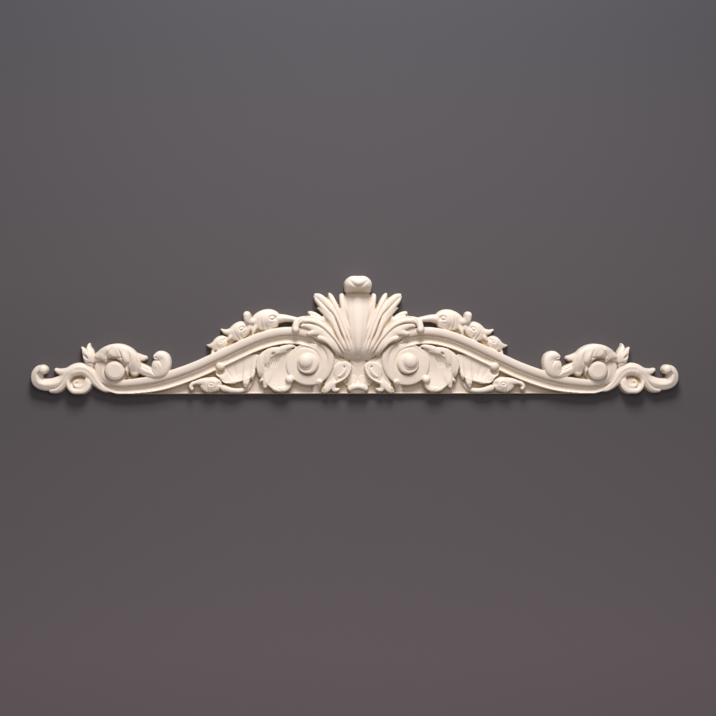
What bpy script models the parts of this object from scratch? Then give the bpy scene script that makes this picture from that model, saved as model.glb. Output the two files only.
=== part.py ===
"""A long carved overlay: one flat-backed casting of scrolls, leaves and husks about a central palmette.

The back lies on the plane y = 0 and the carving stands out towards -Y. The half at +X is modelled from
overlapping carved forms, joined into one solid, cut flat at the back and on the centre line, and mirrored.

Carving is placed in shares of the overlay's own size: x in thousandths of the length from the centre line,
z in shares of the height above the bottom edge (182.5 of them),
    and relief in shares of the projection (36).
"""

import math

import bmesh
import bpy
import numpy as np

# Driving sizes, in metres
LENGTH = 1.000
HEIGHT = 0.1825
PROJECTION = 0.036
GROUND_THICKNESS = 0.005
BASE_LIP_WIDTH = 0.0024
BASE_LIP_RELIEF = 0.008
BAND_WIDTH = 0.0270
BAND_RELIEF = 0.0185
BOSS_RADIUS = 0.0165
BEAD_RADIUS = 0.0095
END_BOSS_RADIUS = 0.0180
BALL_RADIUS = 0.0065
EYE_DEPTH = 0.005

# The carver's units
UNIT_X = LENGTH / 1000
UNIT_Z = HEIGHT / 182.5
UNIT_Y = PROJECTION / 36
BEHIND = 0.004
BACK = -BEHIND / UNIT_Y
OVERRUN = 0.004

# How finely curves are cut into facets
STEPS = 1
SIDES = 4
DOME_SIDES = 12
FLATTENED_ANGLE = math.radians(9)
CREASE_ANGLE = math.radians(40)

RESIN_CREAM = (0.86, 0.80, 0.72, 1.0)

for old in list(bpy.data.objects):
    bpy.data.objects.remove(old)

forms = bpy.data.collections.new("carved forms")
bpy.context.scene.collection.children.link(forms)
pits = bpy.data.collections.new("drilled eyes")
bpy.context.scene.collection.children.link(pits)


def place(x, z, relief):
    """A point of the carving in metres."""
    return (x * UNIT_X, -relief * UNIT_Y, z * UNIT_Z - HEIGHT / 2)


def closed_body(name, rings, collection=forms):
    """A closed body from rings of points, each the same count, capped flat at both ends."""
    body = bmesh.new()
    loops = [[body.verts.new(point) for point in ring] for ring in rings]
    for ahead, behind in zip(loops[1:], loops):
        for i in range(len(ahead)):
            body.faces.new((behind[i - 1], behind[i], ahead[i], ahead[i - 1]))
    body.faces.new(loops[0])
    body.faces.new(list(reversed(loops[-1])))
    bmesh.ops.recalc_face_normals(body, faces=body.faces)
    if body.calc_volume(signed=True) < 0:
        bmesh.ops.reverse_faces(body, faces=body.faces)
    mesh = bpy.data.meshes.new(name)
    body.to_mesh(mesh)
    body.free()
    mesh.shade_smooth()
    mesh.set_sharp_from_angle(angle=CREASE_ANGLE)
    made = bpy.data.objects.new(name, mesh)
    made.hide_render = True
    made.display_type = "WIRE"
    collection.objects.link(made)
    return made


def smooth_run(nodes, steps, closed=False):
    """Points along a smooth curve through the nodes; every column of a node is carried along."""
    nodes = np.array(nodes, float)
    if closed:
        padded = np.vstack([nodes[-1], nodes, nodes[0], nodes[1]])
    else:
        padded = np.vstack([2 * nodes[0] - nodes[1], nodes, 2 * nodes[-1] - nodes[-2]])
    share = (np.arange(steps) / steps)[:, None]
    run = []
    for a, b, c, d in zip(padded, padded[1:], padded[2:], padded[3:]):
        bend = (2 * a - 5 * b + 4 * c - d) * share**2 + (3 * b - a - 3 * c + d) * share**3
        run.append(0.5 * (2 * b + (c - a) * share + bend))
    if not closed:
        run.append(nodes[-1:])
    return np.vstack(run)


def rounded(sides, fullness):
    """Across shares and relief shares of a rounded ridge; a low fullness gives steep sides and a flat top."""
    turns = [math.pi * i / sides for i in range(sides + 1)]
    return [(-math.cos(turn), max(math.sin(turn), 0) ** fullness) for turn in turns]


ROUND = rounded(SIDES, 0.75)
FULL = rounded(SIDES, 0.42)
SLIM = rounded(3, 0.5)


def end_ring(inner, end):
    """One more station, past the end of a run, that rounds the stroke off."""
    step = end[:2] - inner[:2]
    x, z = end[:2] + step / np.linalg.norm(step) * end[2] * 0.7
    return np.array([[x, z, end[2] * 0.55, end[3] * 0.8]])


def stroke(name, nodes, section=ROUND, steps=STEPS, round_end=False):
    """A carved ridge along nodes of (x, z, half width, relief), let in behind the back face."""
    run = smooth_run(nodes, steps)
    if round_end:
        run = np.vstack([run, end_ring(run[-2], run[-1])])
    way = np.gradient(run[:, :2], axis=0)
    way /= np.linalg.norm(way, axis=1)[:, None]
    rings = []
    for (x, z, half, relief), (dx, dz) in zip(run, way):
        ring = []
        for across, share in section:
            height = share * relief if share > 0.01 else BACK
            ring.append(place(x - dz * half * across, z + dx * half * across, height))
        rings.append(ring)
    return closed_body(name, rings)


def dome(name, x, z, radius_x, radius_z, relief, base=0.0, sides=DOME_SIDES, steps=3, fullness=0.75):
    """A boss or ball: rings that close in as they rise from the base relief to the top."""
    turns = [2 * math.pi * i / sides for i in range(sides)]
    levels = [(1.0, BACK)]
    for step in range(0 if base else 1, steps + 1):
        angle = math.pi / 2 * step / steps
        levels.append((max(math.cos(angle), 0.15), base + (relief - base) * math.sin(angle) ** fullness))
    rings = []
    for reach, height in levels:
        across, up = radius_x * reach, radius_z * reach
        rings.append([place(x + across * math.cos(turn), z + up * math.sin(turn),
            height) for turn in turns])
    return closed_body(name, rings)


def dish(name, rim, centre, steps=STEPS):
    """A leaf hollowed like a bowl: a closed rim of (x, z, relief) that sinks to its centre."""
    run = smooth_run(rim, steps, closed=True)
    centre = np.array(centre, float)
    rings = [[place(x, z, BACK) for x, z, _ in run], [place(*point) for point in run]]
    for reach, sunk in ((0.65, 0.55), (0.15, 1.0)):
        inner = centre + (run - centre) * reach
        inner[:, 2] = run[:, 2] + (centre[2] - run[:, 2]) * sunk
        rings.append([place(*point) for point in inner])
    return closed_body(name, rings)


def ball(name, x, z, relief, grow=1.0):
    """The small round end of a curled leaf."""
    radius = BALL_RADIUS * grow
    return dome(name, x, z, radius / UNIT_X, radius / UNIT_Z, relief, relief * 0.45, 8)


def eye(name, x, z, half_x, half_z, tilt, relief):
    """A drilled hollow: a tapering pit sunk from the carved surface by the eye depth."""
    rings = []
    for height, grow in ((relief + 8, 1.6), (relief - EYE_DEPTH / UNIT_Y, 0.7)):
        ring = []
        for i in range(6):
            turn = math.pi * i / 3
            dx, dz = half_x * grow * math.cos(turn), half_z * grow * math.sin(turn)
            across = dx * math.cos(tilt) - dz * math.sin(tilt)
            up = dx * math.sin(tilt) + dz * math.cos(tilt)
            ring.append(place(x + across, z + up, height))
        rings.append(ring)
    return closed_body(name, rings, pits)


def ground():
    """The flat plate behind the arch, up to the middle of the bands, and its lip along the bottom edge."""
    thick = GROUND_THICKNESS / UNIT_Y
    edge = [
        (-8, 0), (362, 0), (345, 12), (300, 18), (250, 36), (205, 60), (160, 80), (120, 90), (70, 84),
            (40, 66), (-8, 66),
    ]
    front = [place(x, z, thick) for x, z in edge]
    closed_body("ground plate", [[place(x, z, BACK) for x, z in edge], front])
    half = BASE_LIP_WIDTH / 2 / UNIT_Z
    rise = BASE_LIP_RELIEF / UNIT_Y
    stroke("base lip", [(-8, half, half, rise), (366, half, half, rise)], SLIM, 1)


def band():
    """The moulded band, a round, a hollow and a fillet, from the end scroll over the arch to the volute."""
    half = BAND_WIDTH / 2 / UNIT_X
    top = BAND_RELIEF / UNIT_Y
    section = [
        (-1, 0), (-0.93, 0.6), (-0.72, 0.9), (-0.36, 1.0), (-0.04, 0.86), (0.05, 0.62), (0.4, 0.46),
        (0.76, 0.52), (0.84, 0.7), (0.95, 0.68), (1, 0),
    ]
    nodes = [
        (378, 62, half * 0.5, top * 0.8), (392, 53, half * 0.62, top * 0.8),
            (396.5, 38, half * 0.62, top * 0.8),
        (390, 21, half * 0.7, top * 0.85), (370, 12.4, half * 0.82, top * 0.88),
            (340, 13.5, half * 0.92, top * 0.92),
        (300, 19.8, half, top * 0.95), (253, 35.5, half, top * 0.95), (212, 54, half, top),
            (165, 76, half, top),
        (135, 86.5, half, top), (108, 91, half, top), (84, 88.5, half, top), (62, 79.5, half * 0.96, top),
        (49.3, 64, half * 0.9, top), (48.4, 46, half * 0.84, top), (55.5, 31, half * 0.8, top * 0.94),
        (69, 21.6, half * 0.74, top * 0.8), (84, 22, half * 0.66, top * 0.7),
    ]
    stroke("band", nodes, section)


def volute():
    """The disc that the band rolls up on, with its boss, spiral rim and bead."""
    dome("volute disc", 76, 44.5, 35, 32.3, 11.5, 9.2, 20, 2, 0.4)
    boss_x, boss_z = BOSS_RADIUS / UNIT_X, BOSS_RADIUS / UNIT_Z
    dome("boss", 77.5, 46.5, boss_x, boss_z, 22.5, 16, 16, 2, 0.5)
    rim = [
        (91, 57, 2.4, 20), (81, 61.6, 3, 23), (70, 58.6, 3.4, 24), (65.4, 50, 3.4, 24),
            (67.4, 40.4, 3.4, 24),
        (76, 35, 3, 23), (87, 37.6, 2.4, 20),
    ]
    stroke("spiral rim", rim, SLIM)
    bead_x, bead_z = BEAD_RADIUS / UNIT_X, BEAD_RADIUS / UNIT_Z
    dome("bead", 80.8, 51, bead_x, bead_z, 30, 22, 12)


def palmette():
    """The central leaf: cup, fluted lobes that fan out to the side, and the tip that curls forward."""
    lip = [
        (-6, 58.5, 8, 22), (12, 59, 8, 22), (20, 61.5, 7.8, 22), (27, 66.5, 7.4, 21), (33, 73, 6.4, 20),
        (40, 79.5, 5, 18), (48, 83.5, 3.6, 16),
    ]
    stroke("cup", lip, FULL)
    leaf = [
        (0, 61, 11, 20), (0, 72, 12, 25), (0, 90, 15, 26), (0, 105, 18, 25), (0, 125, 19.6, 21.5),
        (0, 145, 19.6, 16.5), (0, 168, 20, 15),
    ]
    stroke("centre leaf", leaf)
    stroke("curled tip", [(-8, 172.6, 10.5, 36), (7, 172.6, 10.3, 36), (14.8, 168, 7.8, 32),
        (17.6, 160, 4.4, 25)])
    web = [
        (8, 64, 20), (10, 92, 20), (18, 118, 17.5), (26, 131, 14), (38, 147, 11.5), (56, 148, 11),
            (57, 134, 12),
        (56, 122.6, 13), (70, 121, 13), (88, 116, 16), (90, 104, 17), (74, 96, 16), (58, 88, 16),
            (44, 80, 17),
        (30, 69, 20),
    ]
    dish("leaf web", web, (36, 100, 19))
    lobes = [
        [(11, 88, 2.4, 22), (16.8, 110, 4.6, 21.5), (21, 130, 5.2, 18), (23, 145, 4.6, 14),
         (24.6, 154.5, 2.6, 11)],
        [(13.3, 66, 3.2, 23.5), (17, 87, 3.8, 23), (21.7, 103, 4.7, 21.5), (27.5, 119, 5.8, 19),
         (32.8, 133, 5.8, 16.5), (38.5, 145.5, 4.8, 14), (43.6, 155, 2.4, 11)],
        [(20, 67, 2.9, 23), (24, 87, 3.4, 22.5), (30, 104, 4, 21.5), (38, 122, 5.2, 19.5),
         (47, 138.5, 6.4, 17.5), (56, 150, 5, 15), (63.5, 154, 2.2, 12)],
        [(24.5, 68, 2.8, 22.5), (29, 86, 3.6, 21.5), (36, 103, 5, 20), (45, 120, 7.4, 17.5),
         (55, 136, 6.2, 15.5), (62, 146.5, 5, 13), (67, 152.5, 2, 11)],
        [(38, 102, 4, 18), (47, 115, 6, 15.5), (54, 124, 5, 13), (59.5, 129.5, 3, 11), (62.6, 132, 1, 10)],
        [(28.5, 70, 2.8, 22), (36, 91, 4.2, 20.5), (45, 104.5, 6, 18.5), (55, 114, 7, 17),
         (66, 121, 6.8, 15), (74.6, 124.6, 3.2, 12)],
        [(58, 112, 5, 17), (71, 116, 5.4, 18), (84, 116, 5.2, 21), (92, 112.5, 6.2, 23),
         (94.6, 105, 5.8, 24), (94.6, 99.5, 5.6, 24)],
        [(31.5, 73, 3, 21.5), (40, 90, 4, 21.5), (50, 102.5, 4.6, 21), (61, 109, 4.8, 21),
         (73, 111.3, 4.2, 21),
         (83, 110, 3.6, 20), (89, 106.5, 2, 19)],
        [(35, 76, 3, 20.5), (46, 89.5, 4.4, 20), (58, 98.5, 5.2, 20), (70, 104, 4.8, 20),
         (82, 105.4, 4.2, 19),
         (90, 103.5, 2.6, 18)],
        [(38, 77, 3.2, 19), (49, 85.8, 4.8, 19), (60, 93, 5.6, 19), (70, 96.8, 5.6, 18), (76.2, 96, 4, 16)],
        [(37, 73.5, 3, 18), (46, 79.6, 3.8, 17), (56, 84.8, 3.8, 15.5), (62, 87.2, 2.4, 14),
         (65, 87.4, 1.2, 12)],
    ]
    for number, nodes in enumerate(lobes, 1):
        stroke(f"palmette lobe {number}", nodes, FULL)
    ball("lobe ball", 94.6, 99.5, 25, 0.92)


def cartouche():
    """Below the palmette: a panel, an eye leaf with its hooked rim, flame tips and the bottom shell."""
    stroke("panel", [(-7, 32, 16, 9), (10, 31, 14, 9)], FULL, 1)
    stroke("bottom shell", [(-6, 10.6, 5.2, 19), (6, 10.2, 5, 19), (15.6, 7.8, 3, 14)], round_end=True)
    edge = [
        (9, 42, 15), (20, 48.4, 15), (31, 46.6, 15), (36, 39, 14), (36, 26, 13), (30, 20, 13),
            (20, 24, 14), (11.5, 33, 14),
    ]
    dish("eye leaf", edge, (23, 36, 11))
    rim = [
        (20, 46, 2.8, 17), (12, 41.5, 2.8, 18), (11.8, 34, 2.6, 18), (17, 26, 2.6, 17), (25, 21, 3, 16),
        (34, 16, 4, 14), (37.5, 8.5, 3.8, 12), (34.6, 2.4, 1.2, 9),
    ]
    stroke("leaf rim", rim, SLIM)
    stroke("hook", [(20, 43.5, 3.2, 18), (20.5, 36, 2.8, 18.5), (24, 30, 2.8, 18.5),
        (28, 26, 2, 16)], SLIM, round_end=True)
    eye("leaf eye", 20.8, 41, 2.6, 1.6, 0.9, 17)
    stroke("flame", [(37, 34, 3, 13), (37.5, 22, 4.6, 13), (43, 11.5, 5.4, 13), (50, 5.5, 4.8, 11),
        (52.4, 2, 1.4, 8)])
    stroke("curl head", [(51, 4, 3, 9), (57.5, 8.5, 4.2, 12), (60.6, 14.5, 5, 15),
        (60, 18, 4.4, 16)], round_end=True)


def inner_leaf():
    """The leaf that springs from the volute: stalk, two hanging lobes and a bowl that ends in a ball."""
    stroke("stalk", [(84, 71.5, 2.4, 13), (97, 73, 4, 16), (109, 71, 5.6, 17), (118, 65, 7, 16)])
    rim = [
        (98, 67, 12), (116, 64, 12), (131, 58, 13), (141, 48, 13), (147, 36, 12), (146, 22, 12),
            (139, 12, 13),
        (126, 4, 13), (113, 3.6, 13), (103, 12, 13), (100, 28, 11), (97, 48, 11),
    ]
    dish("bowl", rim, (119, 36, 7))
    stroke("leaf head", [(114, 60, 6, 14), (122, 63.5, 8, 17), (133, 63.5, 8.4, 18), (145, 58, 8, 15),
        (154, 49, 4, 12)])
    stroke("leaf rib", [(119, 66, 4, 18), (128, 58, 5, 17), (133, 47, 5, 15), (134.5, 34, 5, 13),
        (133, 20, 5, 13)])
    lobes = [
        [(133, 66, 4.4, 17), (139, 58, 5.2, 17.5), (140.8, 49, 4.4, 16), (140.4, 43.6, 2.4, 13)],
        [(141, 64, 5, 15), (147.6, 55, 6.4, 16), (149.6, 43, 6, 15), (149, 34, 5, 13.5),
         (149, 29.6, 2.4, 11)],
        [(134, 38, 6, 14), (142, 28, 6.4, 14), (148.4, 20.6, 3.8, 12), (152, 17.6, 1.2, 9)],
        [(131, 30, 8, 14), (138.6, 20, 7, 14.5), (143.6, 13, 4.6, 13), (145, 10.4, 2.4, 10)],
        [(130, 22, 7, 14), (131, 12, 5.6, 15), (124, 5, 3, 12)],
    ]
    for number, nodes in enumerate(lobes, 1):
        stroke(f"leaf lobe {number}", nodes, round_end=number < 3)
    stroke("bowl curl", [(124, 6.6, 4.4, 14), (114, 6.6, 4.4, 15), (107.5, 12, 3.8, 16), (107, 19, 4, 18)])
    ball("bowl ball", 106.6, 22.4, 21, 0.95)


def outer_leaf():
    """The scooped leaf under the descending band, with lobes along its edge and the tendril below."""
    rim = [
        (154, 62, 12), (156, 44, 12), (162, 30, 13), (174, 20, 14), (190, 17.5, 14), (206, 20, 15),
        (216.5, 27, 16), (219, 36, 16), (212, 48, 13), (184, 54, 11),
    ]
    dish("scoop", rim, (186, 40, 7))
    lobes = [
        [(158, 52, 5.4, 9), (159.4, 37, 5.6, 13), (163, 26, 3.6, 12), (163.8, 22.8, 1.4, 9)],
        [(167, 48, 7, 6.5), (170, 33, 7.4, 11.6), (173.4, 20, 6, 14), (174.2, 15.6, 3.4, 11.5)],
        [(180, 44, 6, 5.5), (183.6, 29, 8, 9.6), (187.6, 20.6, 6.4, 14), (191, 17.6, 3.4, 12)],
        [(194, 38, 6, 5.5), (200, 27.6, 7, 10.6), (203.6, 21.6, 5.4, 14.6), (204, 19, 3, 12)],
    ]
    for number, nodes in enumerate(lobes, 1):
        stroke(f"scoop lobe {number}", nodes)
    stroke("scoop rim", [(207, 21, 3, 14), (216, 27.5, 3.4, 16), (218.4, 36, 3.6, 17),
        (213.5, 42, 4.4, 19)])
    ball("scoop ball", 210.8, 42.8, 22)
    tendril = [
        (154.5, 32, 1.6, 8), (159.5, 20, 3.4, 10), (168, 10.2, 4, 12), (180, 5.6, 4, 13), (194, 6, 4.4, 14),
        (208, 11.4, 5.4, 15),
    ]
    stroke("tendril", tendril)


def husk(name, x, z, size, tilt, relief, tip, hooked=False):
    """A husk: a round hood with a petal over it and a drilled eye, and a tip that bends out of it."""
    c, s = math.cos(tilt), math.sin(tilt)

    def at(along, up, half, rise):
        return (x + (along * c - up * s) * size, z + (along * s + up * c) * size, half * size, relief * rise)

    hood = [
        at(-1.22, 0.1, 0.4, 0.7), at(-0.72, 0.04, 0.8, 0.95), at(-0.05, 0.04, 0.97, 1),
            at(0.55, -0.06, 0.92, 0.95),
        at(1.05, -0.2, 0.66, 0.8),
    ]
    stroke(f"{name} hood", hood)
    petal = [at(-0.12, 0.55, 0.3, 1), at(0.3, 0.1, 0.3, 1.12), at(0.42, -0.45, 0.2, 0.95)]
    stroke(f"{name} petal", petal, SLIM)
    stroke(f"{name} tip", tip, round_end=hooked)
    eye_x, eye_z = at(-0.5, 0.1, 0, 1)[:2]
    eye(f"{name} eye", eye_x, eye_z, 0.22 * size, 0.11 * size, tilt - 0.7, relief * 0.97)


def husks():
    """The chain of husks down the band, each smaller than the last, and the one at the tendril's end."""
    stroke("husk stem", [(90, 113.5, 4.4, 17), (101, 115.6, 4.8, 15), (113, 117, 6, 14), (124, 116, 8, 15)])
    tip = [(153, 114.6, 7, 15), (163, 111.6, 4.8, 16), (169.8, 115, 5.8, 18.5), (170.4, 121.6, 5.9, 20)]
    husk("husk 1", 140, 115, 16.2, -0.15, 19, tip, True)
    tip = [(190, 99.4, 7, 14), (198, 96.4, 4.8, 13), (204.5, 96.4, 3.8, 12), (210.7, 100.2, 1, 10)]
    husk("husk 2", 182, 98.4, 13.6, -0.5, 17.5, tip)
    tip = [(216, 80.4, 6, 13), (223, 76.2, 3.8, 12), (228, 74.6, 2.4, 11), (232.4, 76.2, 0.8, 9)]
    husk("husk 3", 212, 79.6, 10.4, -0.6, 15.5, tip)
    tip = [(233, 16.6, 7, 15), (243, 18, 3.4, 15), (251.6, 17.6, 3.4, 16), (256.4, 13, 3.6, 16),
        (254.6, 8.6, 3.8, 16)]
    husk("husk 4", 224.4, 14.8, 12.4, -0.08, 17, tip, True)
    bed = [(122, 108, 5, 9), (140, 104, 8.6, 9), (163, 100.6, 11, 9), (188, 90, 8.6, 9),
        (206, 77.6, 7, 9), (219, 69, 5, 8)]
    stroke("husk bed", bed, SLIM)
    stroke("calyx 1", [(157, 105, 4.4, 15), (160, 98, 4, 16), (162.6, 91.6, 2, 15)], SLIM)
    stroke("calyx 2", [(165, 108, 4.4, 14), (167, 101, 4.4, 15), (170, 94, 3, 15)], SLIM)
    stroke("calyx 3", [(193, 92, 4, 15), (196.6, 86.6, 3.4, 15), (200, 82.6, 2, 15)], SLIM)
    stroke("husk foot", [(218, 75, 4.4, 11), (222, 67.6, 3.4, 10), (223.6, 61, 3, 10)], SLIM)


def end_scroll():
    """The scroll at the end of the band: boss, cap leaf with its point, and the big comma curl."""
    dome("end ring", 376, 38, 27, 27, 12, 10.5, 16, 1, 0.4)
    radius_x, radius_z = END_BOSS_RADIUS / UNIT_X, END_BOSS_RADIUS / UNIT_Z
    dome("end boss", 372.6, 37.4, radius_x, radius_z, 24, 17, 16, 3, 0.4)
    leaf = [
        (404, 51.5, 2.6, 14), (394, 60, 7.4, 18), (380, 67, 9.4, 23), (365, 68.4, 11.2, 25),
            (352, 60, 13.4, 25),
        (343.5, 46, 12, 22), (341, 33, 7, 17),
    ]
    stroke("cap leaf", leaf)
    lobes = [
        [(388, 62, 6, 21), (392.6, 56.6, 6.6, 21), (396, 53.6, 4.4, 18)],
        [(362, 63, 4, 24), (369, 61, 5.6, 27), (378, 61, 5, 26), (385, 59.6, 2.4, 21)],
        [(357, 62, 6, 25), (354.4, 53.6, 4.8, 25.5), (353.4, 50, 2.6, 22)],
        [(349, 50, 5, 22), (351, 37, 4.4, 21.5), (351.4, 30, 2.4, 18)],
        [(340, 45, 6, 17), (343, 34, 5, 18), (345, 28.6, 3, 15)],
    ]
    for number, nodes in enumerate(lobes, 1):
        stroke(f"cap lobe {number}", nodes)
    stroke("cap point", [(350, 60, 10, 19), (339, 57, 7, 16), (330, 56.2, 4.4, 13), (322, 57.2, 1, 10)])
    comma = [
        (342, 48, 9, 18), (332, 42, 8.6, 17), (321, 35.6, 6, 16), (310, 31, 6.6, 16), (299, 34.6, 8, 17),
        (294.4, 45, 8, 18), (295.6, 56, 8.4, 19), (303, 60.4, 7, 20), (309.4, 56.4, 4.6, 20),
    ]
    stroke("comma", comma, round_end=True)
    dish("comma web", [(298, 33, 12), (313, 34, 12), (319.4, 45, 13), (312, 54, 13), (302, 56, 13),
        (294, 46, 12)], (303, 45, 11))
    stroke("comma heart", [(309, 36, 6, 14), (311.4, 44, 5.6, 18), (306.4, 48.6, 5, 19),
        (301, 45, 4, 16)], round_end=True)


def bud():
    """The split bud that stands between the end scroll and the outer scroll."""
    stroke("bud body", [(409, 42, 5, 13), (410, 52, 8.4, 17), (411.4, 61, 9.8, 18),
        (411.4, 70, 6.6, 15), (409, 79, 1.4, 11)])
    stroke("bud second point", [(413, 54, 6, 15), (416.6, 65, 5.4, 14), (419.6, 71.6, 3, 12),
        (422.8, 75.4, 1, 10)])
    eye("bud eye", 414.6, 59.4, 4, 1.4, 0.75, 17)


def outer_scroll():
    """The last scroll: stem, rosette, split leaf and the curl that ends in a ball."""
    stem = [
        (374, 5.6, 2, 10), (388, 8.6, 4.6, 12), (400, 18.6, 7, 14), (409, 31, 9.4, 15),
            (419, 38.6, 10.2, 16),
        (431, 38.6, 10.4, 16), (442, 32, 9.6, 15), (450, 21.6, 9.8, 14), (459, 11, 8.4, 13),
            (468.6, 6.4, 4.4, 12),
    ]
    stroke("outer stem", stem, round_end=True)
    stroke("split leaf point", [(436, 36, 9, 16), (447, 34.6, 6.4, 14), (456, 35.4, 4.8, 13),
        (462.4, 38.4, 2.6, 10)])
    curl = [
        (446, 26, 9, 14), (456, 19.4, 10, 14), (468, 15.6, 9.8, 14), (480, 15.6, 9.4, 15),
            (489.8, 21, 8.8, 16),
        (494.04, 30, 6.4, 17), (490.6, 38.8, 6.2, 18), (483, 40.4, 5.6, 19),
    ]
    stroke("outer curl", curl)
    ball("curl ball", 479.6, 38.8, 21, 1.08)
    dome("rosette", 426.5, 17.8, 16, 15.2, 10.8, 9, 16, 1, 0.5)
    spiral = [
        (443, 29, 3, 14), (441.8, 14, 3.6, 15.5), (434, 5.4, 4.2, 16), (421.6, 5, 4.4, 16),
            (412.8, 12, 4.6, 16),
        (413.4, 21, 4.2, 15.5), (421, 25.4, 3.6, 15), (429.6, 23.6, 3, 14.5),
    ]
    stroke("rosette spiral", spiral, SLIM)
    heart = [(436.6, 17.4, 2.4, 14), (431, 12, 3.2, 15.6), (423.6, 13, 3.4, 16), (422.4, 17.4, 2.6, 15)]
    stroke("rosette heart", heart, SLIM, round_end=True)


def block(name, low, high):
    """A plain rectangular cutter."""
    corners = [(low[0], low[2]), (high[0], low[2]), (high[0], high[2]), (low[0], high[2])]
    rings = [[(x, y, z) for x, z in corners] for y in (low[1], high[1])]
    return closed_body(name, rings, bpy.context.scene.collection)


def boolean(body, name, operation, **what):
    """A Boolean on a body. The exact solver leaves open edges where so many forms cross, so it isn't used."""
    made = body.modifiers.new(name, "BOOLEAN")
    made.operation = operation
    made.solver = "MANIFOLD"
    for setting, value in what.items():
        setattr(made, setting, value)


carvings = [
    ground, band, volute, palmette, cartouche, inner_leaf, outer_leaf, husks, end_scroll, bud, outer_scroll,
]
for carve in carvings:
    carve()

resin = bpy.data.materials.new("cream cast resin")
resin.use_nodes = True
shader = resin.node_tree.nodes["Principled BSDF"]
shader.inputs["Base Color"].default_value = RESIN_CREAM
shader.inputs["Roughness"].default_value = 0.55
shader.inputs["Metallic"].default_value = 0.0

overlay = forms.objects["ground plate"]
forms.objects.unlink(overlay)
bpy.context.scene.collection.objects.link(overlay)
overlay.name = "overlay"
overlay.hide_render = False
overlay.display_type = "TEXTURED"
overlay.data.materials.append(resin)
boolean(overlay, "Carved forms", "UNION", operand_type="COLLECTION", collection=forms)
boolean(overlay, "Drilled eyes", "DIFFERENCE", operand_type="COLLECTION", collection=pits)
half_space = block("right half in front of the wall", (-OVERRUN, -2 * PROJECTION, -HEIGHT),
    (LENGTH, 0, HEIGHT))
boolean(overlay, "Flat back", "INTERSECT", object=half_space)
coarser = overlay.modifiers.new("Coarser facets", "DECIMATE")
coarser.decimate_type = "DISSOLVE"
coarser.angle_limit = FLATTENED_ANGLE
mirror = overlay.modifiers.new("Mirrored half", "MIRROR")
mirror.use_bisect_axis[0] = True
mirror.merge_threshold = 0.00001
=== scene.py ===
"""The carved overlay, dressed: the finished relief of one cream resin casting, its light and its camera.

The carving is one sheet of relief over a grid of x, along the length, and z, upwards. Each form is a height
over that grid: a ridge carried along a path, a dish inside a rim, or a boss about a point. Forms are laid
on one after another, the higher one wins, and the joint between two is eased by a small fillet. Grooves and
eyes are then sunk into what lies there. The right half is worked out, mirrored, and closed with a flat
back.

Places are millimetres from the centre line and above the bottom edge, heights millimetres in front of the
wall.
"""

import math

import bmesh
import bpy
import numpy as np
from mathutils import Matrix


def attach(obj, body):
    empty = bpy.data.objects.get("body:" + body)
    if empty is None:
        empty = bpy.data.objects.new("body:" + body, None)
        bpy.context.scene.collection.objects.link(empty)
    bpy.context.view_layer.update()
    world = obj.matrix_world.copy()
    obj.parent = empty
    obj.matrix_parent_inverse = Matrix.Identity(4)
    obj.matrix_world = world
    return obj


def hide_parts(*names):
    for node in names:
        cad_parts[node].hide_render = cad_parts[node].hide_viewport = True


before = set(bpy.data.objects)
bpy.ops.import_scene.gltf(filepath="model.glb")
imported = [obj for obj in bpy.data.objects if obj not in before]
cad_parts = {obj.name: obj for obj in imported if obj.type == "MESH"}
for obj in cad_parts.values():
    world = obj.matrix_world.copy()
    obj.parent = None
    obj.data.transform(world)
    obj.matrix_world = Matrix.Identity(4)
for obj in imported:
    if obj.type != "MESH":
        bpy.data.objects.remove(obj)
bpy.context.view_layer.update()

# The ground plate: the thin flat of resin that fills the arch behind the carving. It is poured with the
# rest, and its bottom edge has a small rounded lip that sits on the shelf of the door head.
SPACING = 0.8
ALL = np.s_[:, :]
GRID_RIGHT = 503
GRID_TOP = 187
across = np.arange(0, GRID_RIGHT, SPACING)
upward = np.arange(-2 * SPACING, GRID_TOP, SPACING)
X, Z = np.meshgrid(across, upward)
height = np.zeros_like(X)
inside = np.full_like(X, -50.0)


def lay(window, top, edge, fillet=1.2, draft=1.0):
    """Lays a form of height top where edge, the distance in from its outline, is positive.

    The side rises as the square root of edge over the draft, and nothing goes below the bottom edge.
    The result is the higher of form and sheet, plus the square of what the fillet exceeds their gap
    by, over four fillets.
    """
    edge = np.minimum(edge, Z[window])
    form = top * np.sqrt(np.clip(edge / draft, 0, 1))
    there = height[window]
    eased = np.maximum(form, there) + np.clip(fillet - np.abs(form - there), 0, None) ** 2 / (4 * fillet)
    height[window] = np.where(edge > 0, eased, there)
    inside[window] = np.maximum(inside[window], edge)


PLATE_END = 362
LIP_END = 372
under_bands = np.interp(
    X,
    [0, 40, 70, 120, 160, 205, 250, 300, 345, PLATE_END],
    [66, 66, 84, 90, 80, 60, 36, 18, 12, 0],
)
lay(ALL, np.full_like(X, 4.0), np.minimum(np.minimum(Z, under_bands - Z), PLATE_END - X), draft=0.6)
lip_round = np.sqrt(np.clip(1 - ((Z - 1.2) / 1.6) ** 2, 0, 1))
lay(ALL, 3.6 + 4.4 * lip_round, np.minimum(np.minimum(Z, 2.6 - Z), LIP_END - X), 0.6, 0.5)

# The moulded bands: one S-shaped moulding on each side, from the end scroll over the arch and down into the
# volute. Across it runs a full round, a narrow quirk, a wide hollow and a thin fillet, as a plane would cut
# them.


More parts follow.
